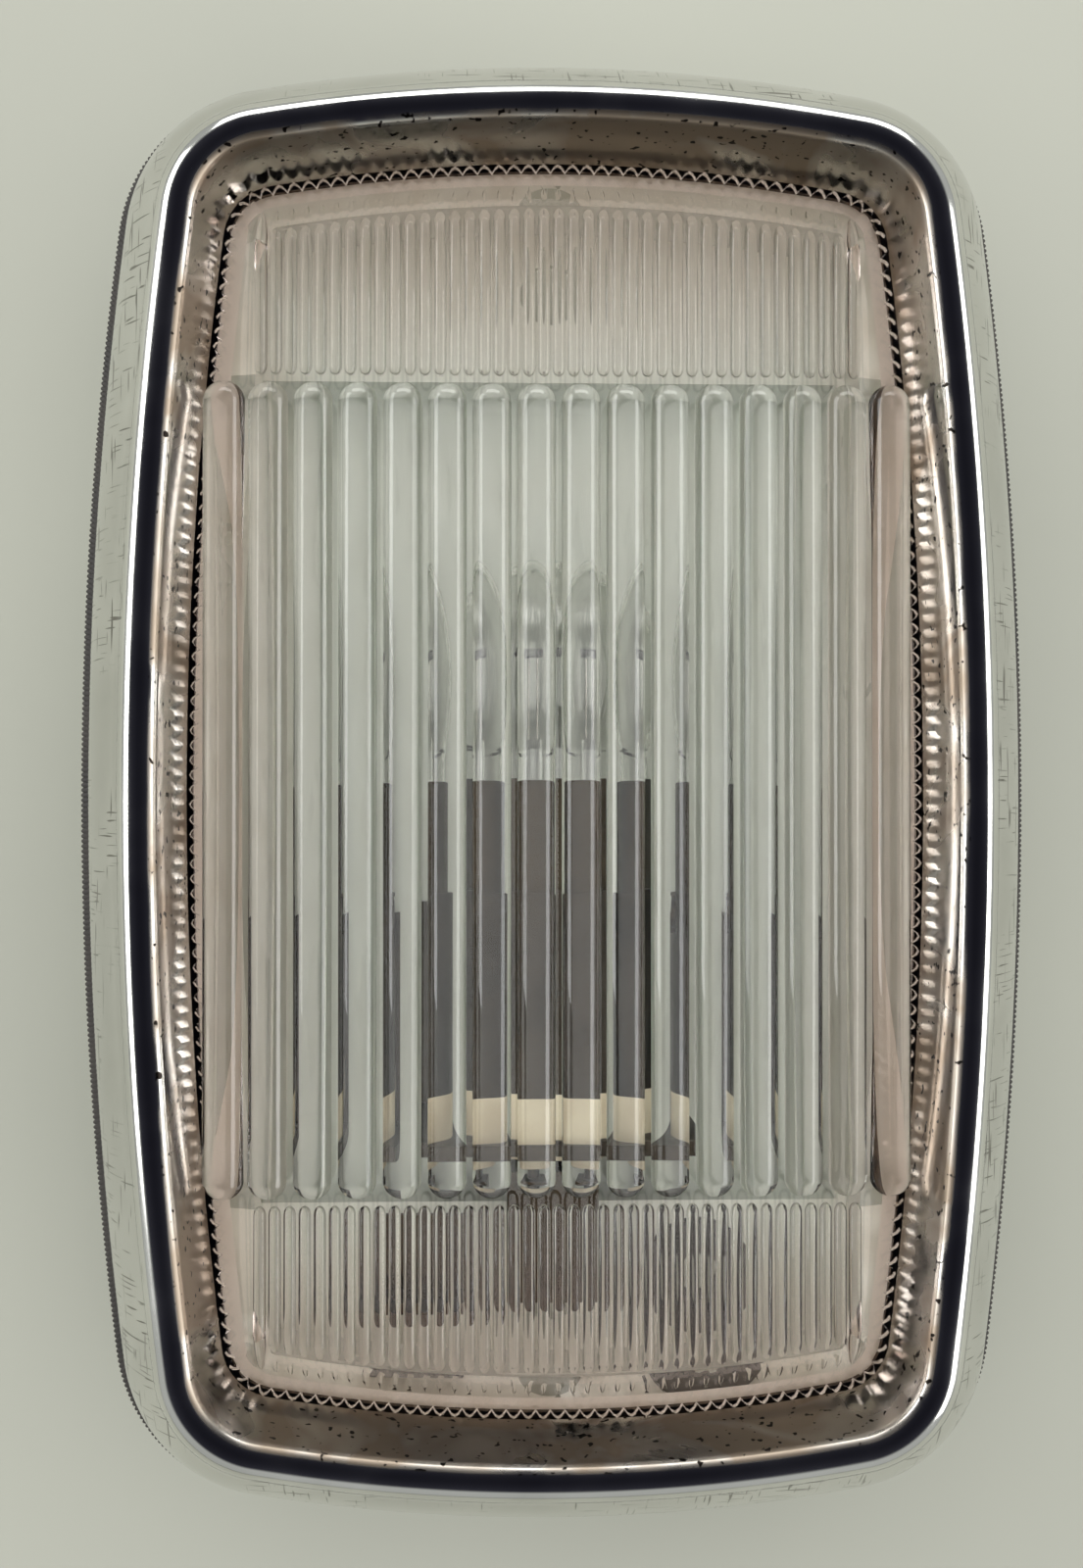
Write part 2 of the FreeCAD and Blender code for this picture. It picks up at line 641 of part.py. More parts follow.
def make_bulb():
    """Single-contact bayonet bulb lying along Y, its cap towards -Y."""
    body = turned_piece("bulb_cap", [
        ("cap_front", "cap_radius - cap_wall"),
        ("cap_front", "cap_radius"),
        ("cap_rear", "cap_radius"),
        ("cap_rear", "button_radius"),
        ("cap_rear + cap_wall", "button_radius"),
        ("cap_rear + cap_wall", "cap_radius - cap_wall"),
    ])
    for side, reverse in (("", False), ("-1 * ", True)):
        pin = new_sketch(body, f"pin_{'left' if reverse else 'right'}", "YZ_Plane",
                         f"{side}( cap_radius - cap_wall )", "bulb_axis_height")
        draw_circle(pin, "pin_y", "0", "pin_radius")
        pad(body, pin, "cap_wall + pin_reach", reverse)
    turned_piece("bulb_button", [
        ("cap_rear + cap_wall", "0"),
        ("cap_rear + cap_wall", "button_radius"),
        ("cap_rear", "button_radius"),
        ("button_rear", "solder_radius"),
        ("button_rear", "0"),
    ])
    turned_piece("bulb_contact", [
        ("button_rear", "0"),
        ("button_rear", "solder_radius"),
        ("contact_y", "solder_radius / 2"),
        ("contact_y", "0"),
    ])
    turned_piece("bulb_glass", [
        ("neck_end", "neck_radius"),
        ("neck_end", "neck_bore"),
        ("globe_centre - sqrt( globe_bore ^ 2 - neck_bore ^ 2 )", "neck_bore", "-1 * globe_bore"),
        ("glass_tip - glass_wall", "0"),
        ("glass_tip", "0", "glass_radius"),
        ("globe_centre - sqrt( glass_radius ^ 2 - neck_radius ^ 2 )", "neck_radius"),
    ])
    turned_piece("bulb_stem", [
        ("neck_end", "0"),
        ("neck_end", "neck_bore - neck_clearance"),
        ("neck_end + stem_foot_thickness", "neck_bore - neck_clearance"),
        ("neck_end + 3 * stem_foot_thickness", "stem_radius"),
        ("neck_end + stem_reach", "stem_radius"),
        ("neck_end + stem_reach", "0"),
    ])
    supports = []
    for number, side in enumerate(("", "-1 * ")):
        support = doc.addObject("Part::Cylinder", f"support_{number}")
        bind(support, "Radius", "support_radius")
        bind(support, "Height", "filament_offset - filament_radius - neck_end - stem_reach")
        support.Placement.Rotation = FreeCAD.Rotation(Vector(1, 0, 0), -90)
        bind(support, "Placement.Base.x", f"{side}stem_radius / 2")
        bind(support, "Placement.Base.y", "neck_end + stem_reach")
        bind(support, "Placement.Base.z", "bulb_axis_height")
        supports.append(support)
    group = doc.addObject("Part::Compound", "filament_supports")
    group.Label = "filament_supports"
    group.Links = supports
    pieces.append(group)
    filament = doc.addObject("Part::Cylinder", "filament")
    filament.Label = "filament"
    filament.Placement.Rotation = FreeCAD.Rotation(Vector(0, 1, 0), 90)
    bind(filament, "Radius", "filament_radius")
    bind(filament, "Height", "2 * filament_half_length")
    bind(filament, "Placement.Base.x", "-1 * filament_half_length")
    bind(filament, "Placement.Base.y", "filament_offset")
    bind(filament, "Placement.Base.z", "bulb_axis_height")
    pieces.append(filament)


def make_holder_sleeve():
    """Bayonet sleeve with a hooked slot for each pin of the bulb."""
    body = turned_piece("holder_sleeve", [
        ("disc_front", "sleeve_bore"),
        ("sleeve_front", "sleeve_bore"),
        ("sleeve_front", "sleeve_radius"),
        ("disc_front", "sleeve_radius"),
    ])
    half = "( pin_radius + slot_clearance )"
    for side, turn in (("", "slot_turn"), ("-1 * ", "-1 * slot_turn")):
        rise = (f"( {turn} ) - {half}", f"( {turn} ) + {half}")
        hook = f"-1 * {half}" if side == "" else half
        far, near = (rise[1], rise[0]) if side == "" else (rise[0], rise[1])
        slot = new_sketch(body, f"slot_{'left' if side else 'right'}", "YZ_Plane",
                          f"{side}( cap_radius / 2 )", "bulb_axis_height")
        draw_outline(slot, [
            (f"pin_y - {half}", hook),
            (f"pin_y + {half}", hook),
            (f"pin_y + {half}", near),
            ("sleeve_front + slot_clearance", near),
            ("sleeve_front + slot_clearance", far),
            (f"pin_y - {half}", far),
        ])
        pocket(body, slot, "sleeve_radius", reverse=side == "")


def make_holder_bracket():
    """Folded steel bracket: an upright plate behind the disc and a foot on the pan's floor."""
    body = new_body("holder_bracket")
    section = new_sketch(body, "section", "YZ_Plane")
    draw_outline(section, [
        ("plate_rear", "floor_top"),
        ("plate_face + foot_length", "floor_top"),
        ("plate_face + foot_length", "foot_top"),
        ("plate_face", "foot_top"),
        ("plate_face", "plate_top"),
        ("plate_rear", "plate_top"),
    ])
    pad_both_ways(body, section, "plate_width")
    bore = new_sketch(body, "bore", "XZ_Plane", "-1 * plate_face", "bulb_axis_height")
    draw_circle(bore, "0", "0", "bush_radius + plunger_clearance")
    pocket(body, bore, "plate_thickness", reverse=True)
    rivet_holes = new_sketch(body, "rivet_holes", "XY_Plane", "floor_top")
    for side in ("", "-1 * "):
        draw_circle(rivet_holes, f"{side}( foot_rivet_spacing / 2 )", FOOT_RIVET_ALONG,
                    "foot_rivet_diameter / 2 + rivet_clearance")
    pocket(body, rivet_holes, "plate_thickness", reverse=True)


def make_contact_set():
    """Cream disc, plunger, dished spring, rear bush and blade that feed the bulb's contact."""
    turned_piece("contact_disc", [
        ("disc_front", "plunger_radius + plunger_clearance"),
        ("disc_front", "sleeve_radius"),
        ("plate_face", "sleeve_radius"),
        ("plate_face", "plunger_radius + plunger_clearance"),
    ])
    turned_piece("contact_plunger", [
        ("contact_y", "0"),
        ("contact_y", "plunger_head_radius"),
        ("spring_front", "plunger_head_radius"),
        ("spring_front", "plunger_radius"),
        ("plunger_end", "plunger_radius"),
        ("plunger_end", "0"),
    ])
    turned_piece("contact_spring", [
        ("spring_front", "plunger_radius + spring_clearance"),
        ("spring_front", "plunger_radius + spring_clearance + spring_sheet"),
        ("disc_front", "spring_rim_radius"),
        ("disc_front", "spring_rim_radius - spring_sheet"),
    ])
    turned_piece("contact_bush", [
        ("plate_face", "plunger_radius + plunger_clearance"),
        ("plate_face", "bush_radius"),
        ("plate_rear", "bush_radius"),
        ("plate_rear", "bush_flange_radius"),
        ("bush_rear", "bush_flange_radius"),
        ("bush_rear", "plunger_radius + plunger_clearance"),
    ])
    blade = new_body("live_blade")
    section = new_sketch(blade, "section", "YZ_Plane", shift="bulb_axis_height")
    draw_outline(section, [
        ("plunger_end", "-1 * plunger_radius"),
        ("plunger_end", "plunger_head_radius + blade_thickness"),
        ("plunger_end - blade_reach", "plunger_head_radius + blade_thickness"),
        ("plunger_end - blade_reach", "plunger_head_radius"),
        ("blade_rear", "plunger_head_radius"),
        ("blade_rear", "-1 * plunger_radius"),
    ])
    pad_both_ways(blade, section, "blade_width")


def make_earth_blade():
    """Spade terminal on the pan's shelf, beside the cable hole."""
    body = new_body("earth_blade")
    section = new_sketch(body, "section", "YZ_Plane", "earth_blade_across")
    tail = "( shelf_from_middle + earth_blade_length / 2 )"
    draw_outline(section, [
        (f"-1 * {tail} + earth_blade_length / 2", "shelf_top"),
        (f"-1 * {tail} + earth_blade_length / 2", "shelf_top + blade_thickness"),
        (f"-1 * {tail} + blade_thickness", "shelf_top + blade_thickness"),
        (f"-1 * {tail} + blade_thickness", "shelf_top + earth_blade_rise"),
        (f"-1 * {tail}", "shelf_top + earth_blade_rise"),
        (f"-1 * {tail}", "shelf_top"),
    ])
    pad_both_ways(body, section, "blade_width")


def make_grommet():
    """Rubber grommet in the cable hole: a waist in the sheet between two flanges."""
    body = new_body("cable_grommet")
    for name, bottom, height, diameter in (
            ("rear", "-1 * grommet_flange_height", "grommet_flange_height", "grommet_flange"),
            ("waist", "0", "shelf_top", "cable_hole_diameter - 2 * grommet_clearance"),
            ("front", "shelf_top", "grommet_flange_height", "grommet_flange")):
        disc = new_sketch(body, name, "XY_Plane", bottom)
        draw_circle(disc, "cable_hole_across", "-1 * cable_hole_along", f"( {diameter} ) / 2")
        pad(body, disc, height)
    bore = new_sketch(body, "bore", "XY_Plane", "-1 * grommet_flange_height")
    draw_circle(bore, "cable_hole_across", "-1 * cable_hole_along", "grommet_bore / 2")
    pocket(body, bore, "shelf_top + 2 * grommet_flange_height", reverse=True)


make_bezel()
ring_piece("base_gasket", "-1 * gasket_overhang", "gasket_ring_width - gasket_overhang", "panel_z",
           "gasket_thickness")
ring_piece("lens_seal", "lens_lip_inset", "lens_lip_inset + seal_ring_width", "flange_top", "seal_thickness")
make_lens()
make_pan()
make_bezel_clip("bezel_clip_right", "1")
make_bezel_clip("bezel_clip_left", "-1")
clip_rivet_places = [(f"{side} * ( {CLIP_RIVET_ACROSS} )", f"{end} * clip_rivet_spacing / 2")
                     for side in ("1", "-1") for end in ("1", "-1")]
make_rivets("clip_rivets", clip_rivet_places, "seat_z", "clip_rivet_diameter", "sheet_thickness + clip_sheet",
            "clip_rivet_head", "clip_rivet_head_height")
make_bulb()
make_holder_sleeve()
make_holder_bracket()
foot_rivet_places = [(f"{side} * foot_rivet_spacing / 2", FOOT_RIVET_ALONG) for side in ("1", "-1")]
make_rivets("foot_rivets", foot_rivet_places, "floor_z", "foot_rivet_diameter", "sheet_thickness + plate_thickness",
            "foot_rivet_head", "foot_rivet_head_height")
make_contact_set()
make_earth_blade()
make_grommet()
doc.recompute()

for thing in doc.Objects:
    if "Invalid" in thing.State or "Error" in thing.State:
        raise RuntimeError(f"{thing.Label} did not build")
for piece in pieces:
    if piece.Shape.isNull() or not piece.Shape.isValid():
        raise RuntimeError(f"{piece.Label} has no valid shape")

os.makedirs("parts", exist_ok=True)
for piece in pieces:
    piece.Shape.exportStep(f"parts/{piece.Label}.step")
    print(piece.Label, len(piece.Shape.Solids), round(piece.Shape.Volume, 2))
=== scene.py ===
import math

import bmesh
import bpy
from mathutils import Matrix, Vector


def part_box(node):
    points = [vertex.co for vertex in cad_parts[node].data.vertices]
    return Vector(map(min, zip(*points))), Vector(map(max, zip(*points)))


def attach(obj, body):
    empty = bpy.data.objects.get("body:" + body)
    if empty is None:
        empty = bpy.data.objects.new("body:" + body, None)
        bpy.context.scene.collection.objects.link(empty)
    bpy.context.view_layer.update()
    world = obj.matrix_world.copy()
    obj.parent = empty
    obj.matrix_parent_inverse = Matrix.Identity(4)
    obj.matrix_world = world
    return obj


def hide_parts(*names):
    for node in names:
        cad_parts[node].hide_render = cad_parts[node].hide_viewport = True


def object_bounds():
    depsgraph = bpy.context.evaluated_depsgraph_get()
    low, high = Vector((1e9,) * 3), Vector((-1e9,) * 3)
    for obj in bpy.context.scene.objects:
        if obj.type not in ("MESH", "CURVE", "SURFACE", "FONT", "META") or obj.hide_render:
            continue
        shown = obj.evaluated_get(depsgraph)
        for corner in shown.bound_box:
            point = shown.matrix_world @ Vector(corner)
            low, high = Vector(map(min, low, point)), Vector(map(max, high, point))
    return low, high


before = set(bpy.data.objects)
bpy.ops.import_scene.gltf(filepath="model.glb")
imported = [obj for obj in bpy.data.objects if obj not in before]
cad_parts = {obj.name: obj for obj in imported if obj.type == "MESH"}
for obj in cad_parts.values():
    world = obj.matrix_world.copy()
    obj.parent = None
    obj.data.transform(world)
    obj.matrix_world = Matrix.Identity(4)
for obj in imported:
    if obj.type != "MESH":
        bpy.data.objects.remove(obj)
cad_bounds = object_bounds()

MM = 0.001

# Plan of the lamp: a barrel shape, every outline a parallel inset of the bezel's base edge
HALF_WIDTH = 31 * MM
HALF_LENGTH = 48 * MM
SIDE_RADIUS = 290 * MM
END_RADIUS = 115 * MM
CORNER_RADIUS = 10.5 * MM
ARC_STEPS = {"side": 60, "end": 44, "corner": 26}

# Bezel section, as insets from the base edge and heights
SEAT_Z = 11.2 * MM
SKIRT_RUN = 3.1 * MM
SKIRT_RISE = 8 * MM
SKIRT_BOW_RADIUS = 14 * MM
CROWN_WIDTH = 2.5 * MM
CROWN_RADIUS = 1.5 * MM
LIP_Z = 20 * MM
RECESS_DEPTH = 6 * MM
RECESS_DRAFT = 1.2 * MM
BEZEL_WALL = 1.3 * MM
SECTION_STEPS = {"skirt": 14, "crown": 22, "wall": 12}
SCRATCHED_CROWN_STEPS = 4
BLOOMED_CROWN_STEPS = 3

# Depth of a notch's shoulders as a share of its full depth, on the lens's rim and the gasket's edge
NOTCH_SHOULDER = 0.28

# Lens
LENS_SEAT_Z = 12.6 * MM
LIP_TOP_Z = 14.0 * MM
FLANGE_Z = 15.0 * MM
BLOCK_Z = 16.3 * MM
LENS_LIP_INSET = 5.9 * MM
LENS_RIM_INSET = 7.1 * MM
TOOTH_PITCH = 0.96 * MM
TOOTH_DEPTH = 0.5 * MM
BLOCK_FOOT_INSET = 8.5 * MM
BLOCK_TOP_INSET = 10.2 * MM
BAR_COUNT = 16
BAR_PITCH = 2.88 * MM
BAR_RADIUS = 1.36 * MM
BAR_SHOULDER = 0.5 * MM
BAR_HALF_LENGTH = 26.4 * MM
STRAIGHT_ARC = 1000 * HALF_LENGTH
RIB_COUNT = 41
RIB_PITCH = 0.96 * MM
RIB_RADIUS = 0.41 * MM
RIB_POINT = 1.6
RIB_GAP = 0.3 * MM
RIB_END_INSET = 8.8 * MM
RIB_SLOPE = 2.4 * MM
RIB_DROP = 1.1 * MM

# Gasket
GASKET_EDGE = 0.6 * MM
GASKET_RING = 8 * MM
PANEL_Z = 10 * MM
CORD_PITCH = 0.34 * MM
CORD_DEPTH = 0.14 * MM
GASKET_BEVEL = 0.25 * MM

# Filament
COIL_WIRE = 0.07 * MM
COIL_PITCH = 0.22 * MM


def barrel_centres():
    """Centres of the right side arc, the far end arc and the corner arc between them."""
    side = HALF_WIDTH - SIDE_RADIUS
    end = HALF_LENGTH - END_RADIUS
    side_reach = SIDE_RADIUS - CORNER_RADIUS
    end_reach = END_RADIUS - CORNER_RADIUS
    apart = math.hypot(side, end)
    along = (side_reach ** 2 - end_reach ** 2 + apart ** 2) / (2 * apart)
    off = math.sqrt(side_reach ** 2 - along ** 2)
    to_end = Vector((-side, end)) / apart
    corner = Vector((side, 0)) + to_end * along + Vector((-to_end.y, to_end.x)) * off
    return Vector((side, 0)), Vector((0, end)), corner


def barrel(inset):
    """Points once round the outline at an inset, counter-clockwise from the right."""
    side_c, end_c, corner_c = barrel_centres()
    low = math.atan2(corner_c.y - side_c.y, corner_c.x - side_c.x)
    high = math.atan2(corner_c.y - end_c.y, corner_c.x - end_c.x)
    quarter = []
    for step in range(ARC_STEPS["side"] // 2):
        turn = low * step / (ARC_STEPS["side"] // 2)
        quarter.append(side_c + (SIDE_RADIUS - inset) * Vector((math.cos(turn), math.sin(turn))))
    for step in range(ARC_STEPS["corner"]):
        turn = low + (high - low) * step / ARC_STEPS["corner"]
        quarter.append(corner_c + (CORNER_RADIUS - inset) * Vector((math.cos(turn), math.sin(turn))))
    for step in range(ARC_STEPS["end"] // 2):
        turn = high + (math.pi / 2 - high) * step / (ARC_STEPS["end"] // 2)
        quarter.append(end_c + (END_RADIUS - inset) * Vector((math.cos(turn), math.sin(turn))))
    top = end_c + Vector((0, END_RADIUS - inset))
    right_half = quarter + [top]
    upper = right_half + [Vector((-p.x, p.y)) for p in reversed(quarter)]
    lower = [Vector((p.x, -p.y)) for p in reversed(upper[1:-1])]
    return upper + lower


def spaced(points, count):
    """The closed outline walked again in equal steps, with the outward normal at each point."""
    ring = points + points[:1]
    runs = [0.0]
    for a, b in zip(ring, ring[1:]):
        runs.append(runs[-1] + (b - a).length)
    placed = []
    leg = 0
    for step in range(count):
        reach = runs[-1] * step / count
        while runs[leg + 1] < reach:
            leg += 1
        a, b = ring[leg], ring[leg + 1]
        share = (reach - runs[leg]) / (runs[leg + 1] - runs[leg])
        along = (b - a).normalized()
        placed.append((a.lerp(b, share), Vector((along.y, -along.x))))
    return placed


def outline_run(points):
    return sum((b - a).length for a, b in zip(points, points[1:] + points[:1]))


def notched_ring(bm, inset, height, notches, depth):
    """A ring of vertices at an inset, drawn in by a row of notches of a depth that may be nothing."""
    profile = (0.0, NOTCH_SHOULDER * depth, depth, NOTCH_SHOULDER * depth)
    walk = spaced(barrel(inset), notches * len(profile))
    points = [p - outward * profile[i % len(profile)] for i, (p, outward) in enumerate(walk)]
    return [bm.verts.new((*p, height)) for p in points]


def new_piece(name, bm, material, sharp_deg=None):
    """A mesh object from a bmesh, with outward normals and smooth shading."""
    bmesh.ops.recalc_face_normals(bm, faces=bm.faces)
    mesh = bpy.data.meshes.new(name)
    bm.to_mesh(mesh)
    bm.free()
    return as_piece(name, mesh, material, sharp_deg)


def as_piece(name, mesh, material, sharp_deg=None):
    mesh.materials.clear()
    mesh.materials.append(material)
    mesh.polygons.foreach_set("use_smooth", [True] * len(mesh.polygons))
    mesh.polygons.foreach_set("material_index", [0] * len(mesh.polygons))
    if sharp_deg:
        mesh.set_sharp_from_angle(angle=math.radians(sharp_deg))
    piece = bpy.data.objects.new(name, mesh)
    bpy.context.scene.collection.objects.link(piece)
    return piece


def hand_over(piece, slot, *nodes):
    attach(piece, "root")
    if nodes:
        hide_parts(*nodes)


def arc_between(start, end, radius, steps):
    """Points from start up to, not including, end on an arc bowed to the left of the way."""
    start, end = Vector(start), Vector(end)
    middle = (start + end) / 2
    way = end - start
    height = math.sqrt(radius ** 2 - (way.length / 2) ** 2)
    centre = middle + Vector((way.y, -way.x)).normalized() * height
    first = math.atan2(start.y - centre.y, start.x - centre.x)
    last = math.atan2(end.y - centre.y, end.x - centre.x)
    sweep = (last - first + math.pi) % (2 * math.pi) - math.pi
    turns = [first + sweep * step / steps for step in range(steps)]
    return [centre + radius * Vector((math.cos(t), math.sin(t))) for t in turns]


# Materials

def new_material(name):
    material = bpy.data.materials.new(name)
    material.use_nodes = True
    return material, material.node_tree, material.node_tree.nodes["Principled BSDF"]


def noise(tree, scale, detail=3.0, stretch=(1, 1, 1), distortion=0.0):
    """A noise value on Object coordinates."""
    place = tree.nodes.new("ShaderNodeTexCoord")
    mapping = tree.nodes.new("ShaderNodeMapping")
    mapping.inputs["Scale"].default_value = stretch
    texture = tree.nodes.new("ShaderNodeTexNoise")
    texture.inputs["Scale"].default_value = scale
    texture.inputs["Detail"].default_value = detail
    texture.inputs["Distortion"].default_value = distortion
    tree.links.new(place.outputs["Object"], mapping.inputs["Vector"])
    tree.links.new(mapping.outputs["Vector"], texture.inputs["Vector"])
    return texture.outputs["Fac"]


def ramp(tree, value, *stops):
    """A colour ramp of (place, colour) stops."""
    node = tree.nodes.new("ShaderNodeValToRGB")
    elements = node.color_ramp.elements
    while len(elements) < len(stops):
        elements.new(0.5)
    for element, (place, colour) in zip(elements, stops):
        element.position = place
        element.color = (*colour, 1)
    tree.links.new(value, node.inputs["Fac"])
    return node.outputs["Color"]


def grey(level):
    return (level, level, level)


def mask(tree, value, low, high):
    return ramp(tree, value, (low, grey(0)), (high, grey(1)))


def math_node(tree, operation, *values):
    node = tree.nodes.new("ShaderNodeMath")
    node.operation = operation
    for socket, value in zip(node.inputs, values):
        if isinstance(value, (int, float)):
            socket.default_value = value
        else:
            tree.links.new(value, socket)
    return node.outputs["Value"]


# Places of the colour sockets on a Mix node
MIX_UNDER = 6
MIX_OVER = 7
MIX_RESULT = 2


def mixed(tree, amount, under, over):
    """Colour under where amount is 0, over where it is 1; each a socket or a colour."""
    node = tree.nodes.new("ShaderNodeMix")
    node.data_type = "RGBA"
    tree.links.new(amount, node.inputs["Factor"])
    for socket, colour in ((node.inputs[MIX_UNDER], under), (node.inputs[MIX_OVER], over)):
        if isinstance(colour, tuple):
            socket.default_value = (*colour, 1)
        else:
            tree.links.new(colour, socket)
    return node.outputs[MIX_RESULT]


def attribute(tree, name):
    node = tree.nodes.new("ShaderNodeAttribute")
    node.attribute_name = name
    return node.outputs["Fac"]


def bump(tree, shader, height, depth):
    node = tree.nodes.new("ShaderNodeBump")
    node.inputs["Distance"].default_value = depth
    tree.links.new(height, node.inputs["Height"])
    tree.links.new(node.outputs["Normal"], shader.inputs["Normal"])


def chrome_material():
    """Old chrome plate: hairline scratches on the skirt, brown bloom and black pits in the recess."""
    material, tree, shader = new_material("old_chrome")
    shader.inputs["Metallic"].default_value = 1.0
    broad = noise(tree, 110, 3, distortion=0.8)
    fine = noise(tree, 1700, 1)
    across, along = (mask(tree, noise(tree, 7000, 0, stretch), 0.70, 0.74)
                     for stretch in ((0.05, 1, 0.05), (1, 0.05, 0.05)))
    hairs = math_node(tree, "MAXIMUM", across, along)
    rubbed = math_node(tree, "MULTIPLY", hairs, mask(tree, broad, 0.42, 0.50))
    scratches = math_node(tree, "MULTIPLY", rubbed, attribute(tree, "skirt"))
    wall = attribute(tree, "wall")
    bloom = math_node(tree, "MULTIPLY", mask(tree, broad, 0.30, 0.56), wall)
    pits = math_node(tree, "MULTIPLY", mask(tree, fine, 0.66, 0.70), wall)
    plate = ramp(tree, broad, (0.3, (0.62, 0.62, 0.59)), (0.7, (0.74, 0.74, 0.71)))
    worn = mixed(tree, scratches, plate, (0.24, 0.23, 0.21))
    brown = mixed(tree, bloom, worn, (0.33, 0.27, 0.21))
    colour = mixed(tree, pits, brown, (0.015, 0.012, 0.010))
    tree.links.new(colour, shader.inputs["Base Color"])
    polish = ramp(tree, broad, (0.3, grey(0.07)), (0.8, grey(0.20)))
    tree.links.new(mixed(tree, bloom, polish, grey(0.38)), shader.inputs["Roughness"])
    return material


def edge_share(tree):
    """How near the lens's rim a place lies: 0 in the middle, 1 at the rim."""
    where = tree.nodes.new("ShaderNodeSeparateXYZ")
    tree.links.new(tree.nodes.new("ShaderNodeTexCoord").outputs["Object"], where.inputs["Vector"])
    shares = []
    for axis, half in (("X", HALF_WIDTH - LENS_RIM_INSET), ("Y", HALF_LENGTH - LENS_RIM_INSET)):
        shares.append(math_node(tree, "DIVIDE", math_node(tree, "ABSOLUTE", where.outputs[axis]), half))
    return math_node(tree, "MAXIMUM", *shares)


def lens_material():
    """Clear moulded plastic with a thin film of dust, gone pink-brown towards the rim."""
    material, tree, shader = new_material("lens_plastic")
    shader.inputs["Transmission Weight"].default_value = 1.0
    shader.inputs["IOR"].default_value = 1.49
    shader.inputs["Roughness"].default_value = 0.0
    dusty = mask(tree, noise(tree, 600, 1, (1, 0.4, 1)), 0.45, 0.75)
    aged = mask(tree, edge_share(tree), 0.63, 0.90)
    clear = mixed(tree, aged, (0.980, 0.980, 0.950), (0.930, 0.815, 0.755))
    film = mixed(tree, aged, (0.930, 0.925, 0.890), (0.860, 0.735, 0.660))
    tree.links.new(mixed(tree, dusty, clear, film), shader.inputs["Base Color"])
    return material


def painted(name, light, dark, roughness, metallic, scale, relief):
    """A plain finish with a soft mottle between two tones."""
    material, tree, shader = new_material(name)
    mottle = noise(tree, scale, 3)
    tone = ramp(tree, mottle, (0.32, dark), (0.68, light))
    tree.links.new(tone, shader.inputs["Base Color"])
    shader.inputs["Metallic"].default_value = metallic
    low, high = grey(roughness * 0.75), grey(min(1.0, roughness * 1.35))
    rough = ramp(tree, mottle, (0.3, low), (0.7, high))
    tree.links.new(rough, shader.inputs["Roughness"])
    if relief:
        bump(tree, shader, noise(tree, scale * 4, 3), relief)
    return material


def bulb_material():
    material, tree, shader = new_material("bulb_clear_glass")
    shader.inputs["Transmission Weight"].default_value = 1.0
    shader.inputs["IOR"].default_value = 1.5
    tint = ramp(tree, noise(tree, 160, 2), (0.35, (0.93, 0.94, 0.92)), (0.75, (0.99, 0.99, 0.98)))
    tree.links.new(tint, shader.inputs["Base Color"])
    shader.inputs["Roughness"].default_value = 0.0
    return material


CHROME = chrome_material()
LENS = lens_material()
FINISHES = {"chrome_plate": CHROME, "lens_clear": LENS, "bulb_clear": bulb_material()}

# Light tone, dark tone, roughness, metal, mottle scale and relief of the plain finishes
PLAIN_FINISHES = {
    "gasket_rubber": ((0.055, 0.050, 0.045), (0.020, 0.019, 0.018), 0.75, 0.0, 150, 0.03 * MM),
    "seal_felt": ((0.160, 0.130, 0.100), (0.070, 0.060, 0.050), 0.90, 0.0, 600, 0.05 * MM),
    # The enamel's tones sit darker and greener than its own off-white: part the enamel's colour, part
    # painted shade of the recess under the lens
    "white_enamel": ((0.760, 0.800, 0.735), (0.670, 0.710, 0.640), 0.32, 0.0, 90, 0.0),
    "spring_steel": ((0.420, 0.400, 0.370), (0.200, 0.160, 0.120), 0.38, 1.0, 300, 0.0),
    "rivet_steel": ((0.500, 0.480, 0.450), (0.280, 0.240, 0.200), 0.35, 1.0, 400, 0.0),
    # The brass cap is toned nearly black: painted shade at the foot of the pan where the holder enters
    "cap_brass": ((0.060, 0.045, 0.030), (0.025, 0.020, 0.014), 0.40, 1.0, 220, 0.0),
    "black_glass": ((0.022, 0.022, 0.024), (0.010, 0.010, 0.011), 0.12, 0.0, 150, 0.0),
    "solder": ((0.550, 0.550, 0.540), (0.340, 0.340, 0.330), 0.42, 1.0, 500, 0.0),
    "support_wire": ((0.550, 0.530, 0.500), (0.350, 0.330, 0.300), 0.30, 1.0, 500, 0.0),
    "filament_wire": ((0.220, 0.220, 0.230), (0.110, 0.110, 0.120), 0.45, 1.0, 900, 0.0),
    # The holder metal is toned nearly black as well: painted shade at the foot of the pan
    "holder_metal": ((0.065, 0.052, 0.040), (0.020, 0.016, 0.012), 0.45, 1.0, 180, 0.0),
    "cream_fibre": ((0.780, 0.700, 0.520), (0.620, 0.520, 0.360), 0.70, 0.0, 260, 0.02 * MM),
}
for slot_name, looks in PLAIN_FINISHES.items():
    FINISHES[slot_name] = painted(slot_name, *looks)


# Bezel

